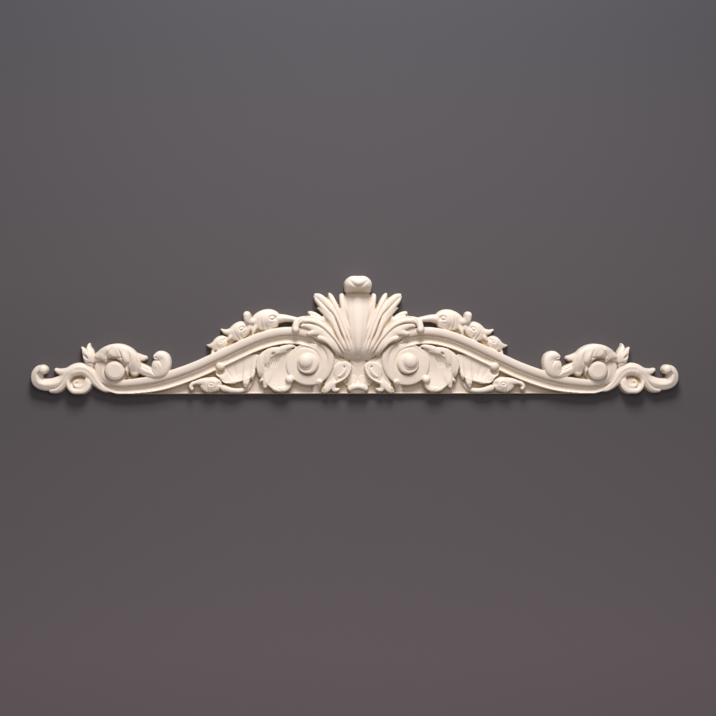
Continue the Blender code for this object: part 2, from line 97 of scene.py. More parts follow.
def curve_through(nodes, steps, closed=False):
    """A smooth curve through the nodes: each span is the cubic whose slopes come from its neighbours."""
    nodes = np.array(nodes, float)
    if closed:
        padded = np.vstack([nodes[-1], nodes, nodes[0], nodes[1]])
    else:
        padded = np.vstack([2 * nodes[0] - nodes[1], nodes, 2 * nodes[-1] - nodes[-2]])
    share = (np.arange(steps) / steps)[:, None]
    spans = []
    for a, b, c, d in zip(padded, padded[1:], padded[2:], padded[3:]):
        bend = (2 * a - 5 * b + 4 * c - d) * share**2 + (3 * b - a - 3 * c + d) * share**3
        spans.append(0.5 * (2 * b + (c - a) * share + bend))
    if not closed:
        spans.append(nodes[-1:])
    return np.vstack(spans)


def near_path(nodes, round_end=True, steps=6):
    """The grid near a path of (x, z, half width, height): its window, share out, half width, height, side.

    The nearest point on each short span is the foot of the perpendicular, kept between the span's
    ends. The span that gives the least distance in shares of its half width is the one that counts.
    Where the end isn't round, the path stops short, so that its cap only reaches the last node.
    """
    run = curve_through(nodes, steps)
    if not round_end:
        last = run[-1, :2] - run[-2, :2]
        run[-1, :2] -= last / np.linalg.norm(last) * min(run[-1, 2], 0.9 * np.linalg.norm(last))
    reach = run[:, 2].max() + 4
    low, high = run[:, :2].min(0) - reach, run[:, :2].max(0) + reach
    window = (
        slice(*np.searchsorted(upward, (low[1], high[1]))),
        slice(*np.searchsorted(across, (low[0], high[0]))),
    )
    x, z = X[window], Z[window]
    out, half, top, side = (np.full(x.shape, start) for start in (np.inf, 1.0, 0.0, 1.0))
    for (ax, az, aw, ah), (bx, bz, bw, bh) in zip(run, run[1:]):
        dx, dz = bx - ax, bz - az
        along = np.clip(((x - ax) * dx + (z - az) * dz) / (dx * dx + dz * dz), 0, 1)
        off_x, off_z = x - ax - along * dx, z - az - along * dz
        width = aw + along * (bw - aw)
        share = np.hypot(off_x, off_z) / width
        nearer = share < out
        out = np.where(nearer, share, out)
        half = np.where(nearer, width, half)
        top = np.where(nearer, ah + along * (bh - ah), top)
        side = np.where(nearer, np.sign(dx * off_z - dz * off_x), side)
    return window, out, half, top, side


BAND_PATH = [
    (380, 60.6, 6, 14.8), (392, 51.5, 8, 14.8), (395.4, 37, 8, 14.8), (389, 20.6, 9.2, 15.7),
    (370, 11.8, 11, 16.3), (340, 12.8, 12.3, 17), (300, 19.4, 13.5, 17.6), (253, 35.2, 13.5, 17.6),
    (212, 53.6, 13.5, 18.5), (165, 75.6, 13.5, 18.5), (135, 86.1, 13.5, 18.5), (108, 90.4, 13.5, 18.5),
    (84, 88, 13.5, 18.5), (63, 79.4, 13, 18.4), (50.6, 64.4, 12.4, 17.6), (48.2, 47, 11.6, 16.4),
    (54, 32, 9.6, 14.6), (65, 23.6, 6, 12.4),
]
window, out, half, top, side = near_path(BAND_PATH)
place = (1 + side * out) / 2
torus = 0.79 + 0.21 * np.sqrt(np.clip(1 - ((place - 0.21) / 0.285) ** 2, 0, 1))
quirk = 0.13 * np.exp(-(((place - 0.505) / 0.034) ** 2))
cove = np.minimum(0.58 + 0.24 * ((place - 0.745) / 0.2) ** 2, 0.83)
fillet_of_band = 0.78 + 0.04 * np.sqrt(np.clip(1 - ((place - 0.945) / 0.06) ** 2, 0, 1))
band = np.where(place < 0.49, torus, np.where(place < 0.885, cove, fillet_of_band)) - quirk
lay(window, top * band, (1 - out) * half, 0.5, 0.8)

# The inner volutes: each band rolls up on a shallow disc with a snail-shell boss, a raised spiral round it,
# and a round bead high on the boss. All of it is modelled in clay for the mould and cast with the band.


def boss(x, z, radius_x, radius_z, top, base, fullness=0.5, fillet=1.2, draft=1.0, flat=0.0):
    """A boss: base plus the rise times one less the squared share past its flat, to the fullness."""
    share = np.hypot((X - x) / radius_x, (Z - z) / radius_z)
    fall = np.clip((share - flat) / (1 - flat), 0, 1)
    form = base + (top - base) * (1 - fall**2) ** fullness
    lay(ALL, form, (1 - share) * min(radius_x, radius_z), fillet, draft)


def ridge(nodes, crown=1.0, round_end=False, fillet=1.2, flutes=0, flute_depth=0.0, draft=1.0):
    """A ridge: its top less the crown's share of the half width as a circle falls away.

    Flutes are lengthwise hollows, a cosine across the width that fades out at both edges.
    """
    window, out, half, top, side = near_path(nodes, round_end)
    body = np.clip(1 - out**2, 0, 1)
    form = top - np.minimum(crown * half, 0.85 * top) * (1 - np.sqrt(body))
    if flutes:
        form -= flute_depth * (0.5 - 0.5 * np.cos(math.pi * flutes * (side * out + 1))) * np.sqrt(body)
    lay(window, form, (1 - out) * half, fillet, draft)


def groove(nodes, round_end=True):
    """A groove of (x, z, half width, depth): the depth times half of one plus the cosine across it."""
    window, out, half, depth, side = near_path(nodes, round_end)
    height[window] -= depth * (0.5 + 0.5 * np.cos(math.pi * np.clip(out, 0, 1)))


boss(74.6, 45.8, 36.8, 33, 15, 13, 0.3, 0.8)
boss(77.4, 46.6, 16.6, 16.4, 20.6, 16, 0.3, 0.4, 0.6)
boss(80.6, 50.4, 11, 10.8, 24.6, 20, 0.7, 1.6)
groove([(94, 50, 0.8, 0.4), (90.6, 41.6, 1.3, 1.2), (84, 37, 1.5, 1.6), (76, 37, 1.4, 1.4),
        (70, 42, 1.2, 1), (68.6, 50, 0.9, 0.5)])
groove([(92, 37.4, 0.9, 0.8), (86, 32.6, 1.5, 3.4), (77.6, 29.9, 1.8, 4.6), (69, 31.8, 1.5, 3.4),
        (62.6, 37, 0.9, 0.8)])
groove([(100, 62, 1.6, 0.3), (88, 71.4, 2, 0.8), (76, 71.6, 2.2, 1.2), (65, 66, 2.2, 1.4),
        (58.6, 55, 2.2, 1.3), (58.6, 43, 2.2, 0.9), (64, 32, 2, 0.4)])

# The palmette: the big central leaf. A cup holds it, fluted lobes fan out to each side, and its tip curls
# forward in a roll that stands furthest from the wall. The hollows between lobes are cut deep enough to
# read from the floor.


def dish(rim, centre, power=2.0, fillet=1.2, draft=1.0):
    """A dish: inside a rim of (x, z, height) it goes to the centre's height.

    The way it has gone is one less the share of the distance out to the rim, raised to a power.
    """
    run = curve_through(rim, 8, closed=True)
    turn = np.arctan2(run[:, 1] - centre[1], run[:, 0] - centre[0])
    order = np.argsort(turn)
    reach = np.hypot(run[:, 0] - centre[0], run[:, 1] - centre[1])[order]
    here = np.arctan2(Z - centre[1], X - centre[0])
    rim_reach = np.interp(here, turn[order], reach, period=2 * math.pi)
    rim_top = np.interp(here, turn[order], run[order, 2], period=2 * math.pi)
    distance = np.hypot(X - centre[0], Z - centre[1])
    sunk = 1 - np.clip(distance / rim_reach, 0, 1) ** power
    lay(ALL, rim_top + (centre[2] - rim_top) * sunk, rim_reach - distance, fillet, draft)


dish([(0, 50.8, 11), (15, 52, 11), (22.4, 55.4, 12), (29.4, 60.6, 13), (36, 66.6, 15), (44, 76, 17),
      (40, 88, 18), (20, 90, 20), (0, 92, 20), (-20, 90, 20), (-36, 66.6, 15), (-22.4, 55.4, 12)], (0, 74,
      24.6), 1.7)
dish([(8, 64, 20), (10, 92, 20), (18, 118, 17.5), (26, 131, 14), (38, 145, 11.5), (54, 146, 11),
      (55, 134, 12), (54, 121, 13), (70, 119, 13), (88, 114, 16), (90, 104, 18), (74, 96, 19), (58, 87, 19),
      (44, 79.4, 19), (30, 66, 18)], (36, 100, 19))
PALMETTE_LOBES = [
    [(12, 84, 2.4, 22), (15.4, 104, 4, 21), (19.4, 121, 5.2, 18.6), (22, 135, 5.4, 16.4),
     (23.6, 146, 5.2, 14.6), (24.8, 152.6, 4, 13)],
    [(6.4, 60, 1.4, 17), (8.8, 70, 1.9, 23.4), (14.6, 86.4, 2.7, 24.6), (19.6, 99, 3, 23.6),
     (25, 112.6, 3.4, 22), (30.6, 127, 4.4, 19.6), (36.4, 139.6, 4.8, 17.2), (41.2, 149.6, 4.2, 14.6),
     (44, 154.8, 2.2, 12.6)],
    [(10.6, 60, 2, 17), (14.2, 70, 2.5, 23.4), (20.2, 87, 3, 24.6), (25.4, 100, 3.1, 24),
     (30.2, 112.6, 3.2, 22.6), (35.4, 123, 3.8, 21), (42, 132.6, 4.6, 19.4), (50, 142.4, 5.4, 17.4),
     (58.6, 149.8, 5, 15.6), (66.4, 153.2, 2.4, 13.6)],
    [(14.6, 60, 2.4, 16.6), (20.6, 72, 3, 23), (27, 85, 3.8, 23.6), (32.4, 97, 4.2, 22.8),
     (37, 109, 4.6, 21.4), (44.4, 120.6, 6.2, 19), (52.6, 128.4, 5.2, 16.6), (58.6, 131.8, 2.8, 14),
     (62.6, 133.2, 1, 12.6)],
    [(39, 117, 4, 20), (47.6, 128, 5.4, 18.4), (56, 138.4, 5.6, 16.4), (62.4, 145.6, 4.8, 14.6),
     (66.8, 151, 2.2, 12.8)],
    [(46, 106, 4, 18), (55, 113.6, 5, 17), (65, 120.4, 5.2, 16), (72, 124.2, 4, 15), (76, 126, 1.8, 13.6)],
    [(58, 112, 5, 18.6), (71, 115.4, 5.2, 19.6), (84, 115.2, 5.2, 22), (92.6, 111.6, 5.8, 24),
     (95.6, 105, 5.8, 25), (95.8, 100, 6, 25)],
    [(19, 60, 2, 15.6), (24.4, 69, 2.4, 22.6), (33.8, 82.6, 3.2, 24), (43.8, 94.4, 3.8, 23.6),
     (56.4, 105.8, 4, 23.2), (69, 111.8, 3.8, 22.8), (81, 112.6, 3, 22), (88, 108, 1.4, 20.6)],
    [(24, 58.6, 2.4, 14), (30.6, 66, 3.4, 20.6), (38, 76.4, 5, 23), (47, 86, 6.6, 22.6),
     (58, 95.4, 7.4, 22.4), (70, 102.4, 5.6, 22.6), (82, 105.6, 3.4, 22), (89, 103.6, 1.6, 21)],
    [(56, 96, 6, 22.4), (66, 95.6, 5.6, 23), (72.6, 93.8, 4, 23.2), (76.4, 93, 3.2, 23)],
]
for nodes in PALMETTE_LOBES:
    ridge(nodes, 0.5, fillet=0.5, draft=0.7)
ridge([(30.6, 60, 2.6, 15), (34.6, 65, 3, 19.6), (39.6, 73, 3.4, 22.6), (45.4, 79.6, 3.4, 23.2),
       (53, 84.4, 3.4, 23.6), (60.2, 86.6, 3.2, 23.6)], 0.15, True, 0.4, draft=0.4)
boss(95.8, 99.6, 6.2, 6.2, 26, 21, 0.5)
ridge([(0, 58, 5, 17), (0, 64, 6.6, 22), (0, 72, 8, 25), (0, 86, 12, 26.4), (0, 99, 15.6, 26),
       (0, 112, 18, 24.4), (0, 126, 19.6, 22), (0, 144, 20, 18.4), (0, 148, 20, 17.6)], 0.42)
ridge([(0, 58, 3, 16), (0, 65, 4, 23), (0, 76, 5.6, 26.8), (0, 95, 7.4, 27), (0, 118, 9, 24.2),
       (0, 138, 9.6, 19.8), (0, 148, 9.6, 17.4)], 0.5, fillet=3)
groove([(7.4, 68, 1, 0.6), (12.4, 86, 1.4, 1.8), (17.4, 99, 1.5, 2.2), (22.6, 112, 1.5, 2.2),
        (26.6, 123, 1.3, 1.6), (27.4, 130, 1, 0.8)])
groove([(12, 72, 1, 0.8), (17.5, 87.6, 1.3, 1.6), (22.5, 100.2, 1.4, 2), (27.5, 112.7, 1.4, 2),
        (33.8, 126.5, 1.4, 1.8), (40.1, 139.1, 1.3, 1.6), (45.6, 149.6, 1.1, 1.2)])
groove([(17, 71, 1, 0.8), (22.5, 85, 1.5, 2), (27.5, 96.3, 1.6, 2.4), (31.3, 107.7, 1.7, 2.6),
        (37.4, 121, 1.7, 2.6), (46, 130.6, 1.6, 2.2), (56.5, 140.8, 1.4, 1.6), (62.7, 148, 1, 0.9)])
groove([(20, 66.2, 1, 0.8), (26.3, 75, 1.4, 1.8), (31.3, 85, 1.6, 2.2), (37.6, 97.6, 1.8, 2.4),
        (41, 104, 1.4, 1.2)])
groove([(26.3, 70, 1, 0.8), (35.1, 81.2, 1.4, 1.8), (42.6, 90.1, 1.5, 2), (51.4, 98.9, 1.6, 2.2),
        (60.2, 105.1, 1.6, 1.5), (71.6, 108.9, 1.5, 1), (86, 110, 1, 0.5)])
groove([(70, 98.4, 0.9, 0.6), (76, 99.4, 1.2, 1.4), (84, 101.4, 1, 0.8)])
groove([(88, 104, 0.9, 0.6), (90, 111, 1.1, 1.2), (84, 117, 1.1, 1.2), (72, 117.6, 1.2, 1.4),
        (62, 114, 1, 0.8)])
groove([(21, 134, 2, 0.5), (19, 124, 3.4, 1.7), (16.2, 113, 3.4, 2.1), (13.4, 103, 1.8, 0.9)])
groove([(51, 117.6, 2, 0.8), (48.6, 111.4, 4.4, 3.8), (44.4, 104.6, 4, 3.4), (39.4, 98.6, 2, 1)])
groove([(79, 90.6, 1, 1.6), (76, 88.2, 1.7, 3.6), (69.6, 86.6, 2, 4.4), (65, 82.6, 2.2, 5),
        (58, 79, 2.4, 6), (50, 76, 2.6, 6.6), (43.6, 70.8, 2.8, 6.2), (38.4, 65, 2.6, 5), (34, 59.4, 2, 3),
        (31, 55.6, 1.4, 1.6)])
dish([(0, 182.3, 28), (10, 182, 28), (16.6, 178.6, 27), (20.6, 173.6, 26), (21.8, 168, 25), (21, 162, 22),
      (19.4, 157, 16), (14, 154.4, 13), (0, 153.8, 13), (-14, 154.4, 13), (-21, 162, 22),
      (-20.6, 173.6, 26), (-10, 182, 28)], (0, 171.4, 36), 2.4)
groove([(15, 174.4, 1.6, 0.3), (11, 171.4, 3.2, 1), (6, 166.8, 4, 1.8), (0, 164.6, 4.4, 2.4),
        (-6, 166.8, 4, 1.8)])
groove([(5, 178, 1.6, 0.4), (0, 175.4, 2.4, 1), (-5, 178, 1.6, 0.4)])

# The cartouche: below the palmette, a tapering panel between two eye leaves whose rims hook under, with
# flame-shaped tips on the bottom edge and a scallop shell at the middle.


def drill(x, z, half_x, half_z, tilt, depth):
    """An eye: the depth times one less the fourth power of the distance out, in a tilted oval."""
    along = (X - x) * math.cos(tilt) + (Z - z) * math.sin(tilt)
    beside = (Z - z) * math.cos(tilt) - (X - x) * math.sin(tilt)
    share = np.hypot(along / half_x, beside / half_z)
    height[ALL] = height - depth * np.clip(1 - share**4, 0, 1)


ridge([(43, 66, 4, 12.6), (38.8, 52, 5, 12.6), (38.6, 36, 5, 12.4), (43, 22, 5.4, 11.6),
       (48.6, 14, 5, 10.4)], 0.2, fillet=2)
ridge([(40, 60, 7, 11.2), (28, 52, 6, 10.8), (15, 48, 5, 10.4)], 0.2, fillet=2)
ridge([(37, 53, 4, 12.6), (30, 48, 5, 12.6)], 0.2, fillet=2)
ridge([(-19, 22, 11, 7.8), (19, 22, 11, 7.8)], 0.1, fillet=2)
ridge([(0, 50, 13, 11.4), (0, 44, 14, 11.2), (0, 34, 16.4, 10.4), (0, 24, 16.4, 9.6), (0, 14, 14.4, 9.2)],
      0.1, fillet=2)
ridge([(-6, 25, 5, 10.4), (-4.6, 15, 7, 12), (4.6, 15, 7, 12), (6, 25, 5, 10.4)], 0.3, True, 3)
ridge([(1.8, 30, 0.9, 10.8), (2.4, 24, 1.1, 12.4), (4, 15, 1.6, 14.6)], 0.8, fillet=2)
ridge([(-12, 8.6, 4.4, 17), (-8, 10.6, 4.4, 18), (0, 11.9, 3.7, 18.6), (8, 10.6, 4.4, 18),
       (12, 8.6, 4.4, 17)], 0.6, True, 0.8, draft=0.6)
boss(0, 3, 13, 8, 12.6, 8, 0.5)
dish([(9, 43, 14.6), (12.4, 48.4, 14.6), (20, 50.4, 15), (30, 48.6, 15), (36.4, 42, 14.6), (37, 28, 13.6),
      (31, 20, 13.4), (20, 22.6, 14), (12, 31, 14.6)], (25, 36, 15), 2, 2, 0.8)
ridge([(35, 25, 4, 13), (38.6, 18, 4.4, 14.6), (44, 11.6, 5.8, 15), (49.6, 7, 6, 14.6),
       (53.6, 4.6, 3.6, 12)], 0.4, True, 1.6)
ridge([(14, 45.6, 1.4, 15.6), (12.2, 38, 2, 17), (15.2, 30.4, 2.1, 17), (21, 24.2, 2.1, 16.6),
       (28, 20.2, 2.2, 16.4), (35.6, 16.6, 3.2, 16), (37.4, 9.6, 3.8, 14.8), (34.6, 2.6, 1.4, 11)], 0.6,
      fillet=1.6)
ridge([(37, 7, 4, 15), (32, 6.8, 3.4, 14.4), (28, 8.6, 1.6, 12.6)], 0.4, fillet=1.6)
ridge([(20.2, 39.6, 1.8, 16), (21.2, 35, 2.4, 16.8), (24.6, 30.4, 2.6, 16.8), (29.4, 27.2, 2.2, 16.2)], 0.6,
      True, 1.6)
groove([(17.4, 37, 0.9, 1), (17.8, 31.4, 1.2, 1.8), (22, 26.6, 1.2, 2), (27.4, 24, 1.1, 1.8),
        (31.4, 25.6, 0.8, 0.8)])
drill(20.9, 42, 2, 1.5, 0.9, 3.6)
groove([(14.6, 50.6, 1, 1.2), (9.4, 46.4, 1.5, 2), (5.8, 41, 1, 0.7)])
groove([(14, 21, 1.4, 0.8), (20, 16.4, 2.6, 2), (28, 13, 2.8, 2.4), (32, 11.4, 1.4, 1)])
ridge([(64.6, 3, 6.2, 8.4), (63.8, 9.6, 6.4, 11), (61, 15, 5.4, 14.6)], 0.7, True, 2)
boss(59.4, 18.8, 5.6, 4.8, 17.8, 14, 0.5, 1.6)
groove([(63, 20.6, 0.9, 0.8), (61, 17.4, 1.1, 1.6), (56.6, 15.4, 0.9, 0.8)])

# The inner leaves: an acanthus leaf springs from each volute on a stalk, turns over in a hooded head with
# an eye, hangs two long lobes and two short ones, and holds a bowl whose lip rolls up into a ball.
dish([(98, 69, 13), (116, 68, 14), (131, 60, 15), (141, 48, 14.6), (146, 36, 15), (145, 24, 15.6),
      (139, 13, 16), (128, 5.6, 16.4), (115, 3.6, 16.8), (103.6, 9, 16.8), (99, 28, 13.4), (97, 48, 13)],
     (116, 37, 11), 1.8)
ridge([(96, 72.6, 1.8, 13), (100, 73.8, 3.2, 16), (108, 72.6, 4.4, 17.6), (118, 69.4, 5.4, 18)], 0.6)
ridge([(113, 68, 5, 16.6), (124, 67, 6.4, 18), (134, 64.6, 7.2, 17.8), (145, 58, 7.4, 15.6),
       (153.6, 49.6, 4, 12)], 0.35, fillet=1.6)
ridge([(137, 65, 6, 16.6), (146.4, 56, 7.4, 17.2), (149.6, 44, 7.2, 17), (149.8, 34, 5.6, 15.8),
       (150.4, 28, 2.6, 13.4)], 0.3, True, 1.4, draft=0.6)
ridge([(130, 65, 5, 16.8), (138.4, 58, 5.6, 17.4), (139.8, 49.6, 4.6, 16.6), (138.6, 43.6, 2.4, 14.4)], 0.3,
      True, 1.4, draft=0.6)
ridge([(135, 36, 6, 11.6), (140.8, 21, 5.6, 15.4), (142.6, 12.6, 4, 14.8)], 0.3, True, 2.4, draft=0.6)
ridge([(142, 29, 4.4, 13.6), (148, 22, 3, 14.4), (150.4, 18.8, 1.8, 13)], 0.3, True, 2, draft=0.6)
ridge([(132, 20, 6, 12), (128.4, 9.6, 5, 15.6), (123, 5.8, 3.4, 14.6)], 0.3, True, 2, draft=0.6)
ridge([(123, 7.2, 4.4, 16), (114, 7, 4.8, 17), (107, 12, 4.6, 17.4), (105.4, 18, 4.8, 18)], 0.5, fillet=2.4)
boss(105, 22.6, 6.8, 6.8, 22, 15.6, 0.5)
drill(130.4, 62.2, 3.4, 1.9, -0.75, 4.6)
for step in range(4):
    groove([(129 - 3.3 * step, 57 + 0.6 * step, 1, 1), (131 - 3 * step, 50 + 0.2 * step, 1.3, 2.6),
            (133.6 - 3 * step, 43 - 0.6 * step, 1.1, 1)])
groove([(140.4, 64, 0.9, 0.5), (143, 55, 1.3, 1.5), (143.8, 46, 1.4, 2.2), (142.6, 39.6, 1.1, 1.6)])
groove([(150, 58, 0.9, 0.3), (152.4, 48, 1.6, 0.8), (151.6, 38, 1.4, 0.6)])
groove([(153.6, 27, 1.2, 1.2), (150, 24.6, 1.5, 2), (146.4, 25, 1.1, 1)])
groove([(138.6, 30, 0.9, 0.4), (137, 20, 1.2, 1), (137, 11, 1, 1)])
groove([(108, 5.6, 0.8, 0.4), (116, 4, 1, 0.9), (124, 9, 1, 1), (131, 14.4, 1, 0.6)])
groove([(132.6, 5.6, 0.9, 1), (129.4, 4.2, 1, 1.2), (126, 2.6, 0.8, 0.8)])

# The outer leaves: a scooped leaf lies under the falling band, lobed along its lower edge, and ends in a
# ball. Below it a tendril swings along the bottom to the last husk, with the deep pockets of the ground
# showing between.
dish([(154, 62, 11.6), (156, 44, 13), (158.6, 31, 14.6), (166, 24, 15.6), (178, 19.6, 16),
      (190, 16.8, 16.4), (204, 16.4, 16.4), (213, 24.4, 16), (219, 33, 15.6), (212, 48, 13), (184, 55, 11)],
     (192, 38, 10.4), 2, draft=0.6)
SCOOP_LOBES = [
    [(160.4, 34, 3.6, 13.6), (161.6, 28, 3.2, 15), (162.8, 23.6, 2, 14)],
    [(169, 38, 7, 10), (170.8, 25.6, 6.4, 14.8), (172, 17.6, 5.2, 16.4), (172.6, 13.6, 3.8, 15)],
    [(183, 26, 4, 12), (189, 20, 3.8, 15.4), (196, 17.8, 2.4, 15.6)],
]
for nodes in SCOOP_LOBES:
    ridge(nodes, 0.25, True, 2.4, draft=0.6)
boss(211.2, 43, 7.8, 6.4, 19.2, 15, 0.5)
ridge([(157.6, 28, 1.6, 6), (163.6, 16.6, 3, 7), (171.6, 8.6, 4, 9.6), (181.6, 5.6, 4.2, 13),
       (194, 6.2, 4.8, 15), (208, 10, 6, 16)], 0.8)
drill(211.6, 33.2, 7.4, 3.8, -0.2, 3.4)
groove([(163, 54, 0.8, 0.3), (165, 40, 1.6, 1.5), (166.6, 27, 1.5, 2)])
groove([(176, 52, 0.9, 0.3), (177, 38, 1.9, 1.5), (178.4, 26, 1.7, 1.9), (179, 19, 1.3, 1.8)])
groove([(190, 48, 0.9, 0.3), (189, 37, 2, 1.1), (187, 27, 1.5, 0.8)])
groove([(202, 42, 0.9, 0.3), (199, 34, 1.8, 0.9), (195, 27, 1.3, 0.6)])
groove([(214, 27, 0.8, 0.4), (208.4, 22, 1.1, 1.4), (200, 19.4, 1, 1), (192, 21, 0.8, 0.4)])
for step in range(3):
    groove([(208.6 - 3.8 * step, 26.4, 1, 0.3), (206.8 - 3.8 * step, 22, 1.3, 0.9),
            (205 - 3.8 * step, 18, 1.3, 0.6)])

# The husks: a chain of hooded husks grows down the outside of each band, every one smaller than the last,
# and a fourth ends the tendril. Each is a round hood with lapped petals, an eye ringed by a groove, and a
# bent tip.


def husk(x, z, size, tilt, top, tip, eye=-0.3, hooked=False):
    """A husk about its middle: its own tip, a hood along the tilt, a side petal, a ringed eye, petal lines.

    A place along and beside the tilt is turned by its cosine and sine and grows with the size.
    """
    c, s = math.cos(tilt), math.sin(tilt)

    def at(along, beside, half, rise):
        from_x, from_z = (along * c - beside * s) * size, (along * s + beside * c) * size
        return (x + from_x, z + from_z, half * size, top * rise)

    ridge(tip, 0.8, hooked)
    ridge([at(-0.84, 0, 0.4, 0.8), at(-0.5, 0.02, 0.82, 0.95), at(-0.05, 0.04, 0.97, 1),
           at(0.5, -0.02, 0.9, 0.95), at(1.0, -0.06, 0.58, 0.8)], 0.7)
    ridge([at(-0.7, -0.6, 0.3, 0.78), at(-0.1, -0.68, 0.32, 0.82), at(0.5, -0.68, 0.32, 0.82),
           at(0.86, -0.52, 0.32, 0.78)], 0.5, True, 2)
    turns = np.linspace(0, 2 * math.pi, 9)
    groove([at(eye + 0.27 * math.cos(t), 0.08 + 0.19 * math.sin(t), 0.095, 0.1) for t in turns])
    groove([at(0.3, 0.7, 0.06, 0.01), at(0.54, 0.3, 0.09, 0.045), at(0.6, -0.2, 0.1, 0.07),
            at(0.5, -0.9, 0.08, 0.08)])
    groove([at(0.06, -0.2, 0.06, 0.01), at(0.16, -0.5, 0.1, 0.05), at(0.08, -0.94, 0.09, 0.07)])
    groove([at(-0.8, -0.24, 0.05, 0.02), at(-0.4, -0.42, 0.09, 0.055), at(-0.1, -0.34, 0.05, 0.02)])


ridge([(128, 107, 5, 10), (140, 104, 8.6, 10), (163, 100.6, 11, 10), (188, 90, 8.6, 10), (206, 77.6, 7, 10),
       (219, 69, 5, 9)], 0.3)
ridge([(90, 113.5, 4.4, 18), (101, 115.6, 4.8, 16), (113, 117, 6, 15), (124, 116, 8, 16)], 0.9, flutes=1,
      flute_depth=-0.5)
ridge([(157, 105, 4.6, 16), (160, 98, 4.2, 17), (162.4, 91.6, 2.2, 16)], 0.8)
ridge([(165, 108, 4.6, 15), (167, 101, 4.6, 16), (170, 93.4, 3, 15)], 0.8)
ridge([(193, 92, 4, 15), (196.6, 86.6, 3.6, 16), (200, 82, 2.2, 15)], 0.8)
ridge([(218, 75, 4.4, 12), (222, 67.6, 3.4, 11), (223.6, 61, 3, 11)], 0.8)
husk(140, 114.6, 16.4, -0.15, 19.6, [(153, 114.6, 7, 16), (162, 111.6, 5.4, 17), (169, 114, 6.2, 19.5),
                                     (170.6, 121.6, 6.4, 21)], -0.54, True)
husk(181.6, 97.6, 13.8, -0.5, 18, [(188, 98, 8, 15), (197, 95.4, 6, 15), (204, 96, 4, 14),
                                   (211, 100, 1.2, 11)])
husk(211.4, 78.8, 10.6, -0.6, 16, [(216, 79.4, 6.6, 14), (222, 75.6, 5, 13.6), (227.6, 74.4, 3, 12),
                                   (232.6, 75.6, 0.9, 10)])
husk(224.4, 14.8, 12.4, -0.08, 17.6, [(231, 18.6, 8.6, 15), (240, 19.2, 6, 15.6), (248, 18.2, 3.8, 16),
                                      (253.4, 16.4, 3.6, 17), (256.4, 12.4, 3.8, 17),
                                      (254.6, 8.6, 3.8, 17)], 0.02, True)

# The end scrolls: the band winds round a flat-faced boss under a cap leaf. The leaf's lobes hang over the
# boss, its point turns back along the band, and a comma curl rolls up from it, holding a small heart.
ridge([(386, 59, 8, 10.4), (398, 49, 7, 10.4), (401, 38, 3, 10.4), (397, 24, 3, 10.4), (388, 12, 4, 10.4)],
      0.4)
boss(377, 38, 27, 25, 14.6, 12, 0.3, 2)
ridge([(364, 22, 6, 9), (350, 24.4, 6, 9), (341.4, 26, 4.4, 9)], 0.3)
boss(371, 36.2, 16.8, 16.4, 22.6, 14.6, 0.7, 1.6, 1.4, flat=0.68)
ridge([(404.4, 50, 3.4, 14), (395, 58, 8, 18.5), (381, 64.8, 10.8, 24), (365, 65.4, 12.6, 26.4),
       (352, 58, 14, 26), (343.6, 45.4, 12.6, 23), (341.4, 33, 7.4, 18)], 0.42)
CAP_LOBES = [
    [(361, 66, 4, 26.6), (356.4, 58, 5.6, 28), (353.4, 50.6, 5, 27), (352.4, 46.4, 2.6, 24)],
    [(354.6, 46, 2.2, 21), (353.2, 37, 3, 22.6), (351.8, 28.4, 1.8, 19)],
]
for nodes in CAP_LOBES:
    ridge(nodes, 0.7, fillet=0.8)
ridge([(398, 58, 4, 18), (391, 58.6, 6, 20.6), (386.4, 54.4, 5, 20.4), (385, 49.6, 2.6, 18.4)], 0.7,
      fillet=3)
ridge([(381, 68, 4, 23.6), (375, 62, 5, 25), (370.4, 58.4, 3, 24.4)], 0.7, fillet=3)
round_the_boss = np.linspace(0, 2 * math.pi, 13)
groove([(371 + 12.4 * math.cos(t), 36.2 + 12 * math.sin(t), 1.4, 0.9) for t in round_the_boss])
groove([(374, 71, 0.9, 0.4), (379.4, 66.4, 1.5, 1.4), (384, 59, 1.6, 2.2), (381.6, 54.4, 1.2, 1.6)])
groove([(365.6, 69, 0.9, 0.4), (362.6, 63, 1.4, 1.8), (360.4, 55, 1.4, 2.2)])
groove([(351.4, 67, 0.9, 0.5), (348.6, 60, 1.4, 2), (347.6, 51, 1.5, 2.4), (350.6, 44.6, 1.3, 2)])
groove([(350.8, 44, 1, 1.2), (349.6, 36, 1.6, 2.8), (347.6, 27, 1.3, 2.4)])
groove([(342, 62, 0.8, 0.4), (337.6, 50, 1.3, 1.4), (338.4, 38, 1, 0.8)])
ridge([(350, 59, 10, 20), (339, 56.6, 7.4, 18), (330, 55.6, 5, 15), (326, 56, 3.6, 13),
       (324.2, 55, 2.2, 12)], 0.6)
ridge([(344, 46, 9, 19), (333, 40, 9, 18.6), (321, 34.2, 8.6, 19.4), (310, 31.8, 8.2, 20.8),
       (299.6, 35.4, 8.8, 21.8), (295, 45, 8.6, 22.2), (296.2, 55.4, 8.8, 22.4), (303, 59.6, 7.4, 22.4),
       (308.6, 57.6, 5.6, 22)], 0.7, True, 0.6)
boss(304.4, 43.4, 12.4, 13.6, 22.6, 13, 0.5, 3.6)
drill(309, 56.4, 2, 1.3, 0.3, 3)
groove([(315, 53.6, 1.2, 1.8), (309.6, 52.6, 1.5, 1.8), (303.6, 50.4, 1.4, 1.2), (299.4, 43, 1.3, 0.9),
        (301, 35, 1, 0.5)])
groove([(309, 49.4, 0.8, 0.3), (305.6, 42, 1.3, 0.8), (306.6, 34, 0.9, 0.4)])
groove([(317.4, 50, 0.9, 0.6), (317, 42, 1.4, 2), (315, 35, 1.4, 2), (310.4, 29.6, 1, 0.8)])
groove([(336, 45.4, 0.8, 0.4), (325, 39.4, 1.3, 1.4), (316, 35.4, 1, 1)])
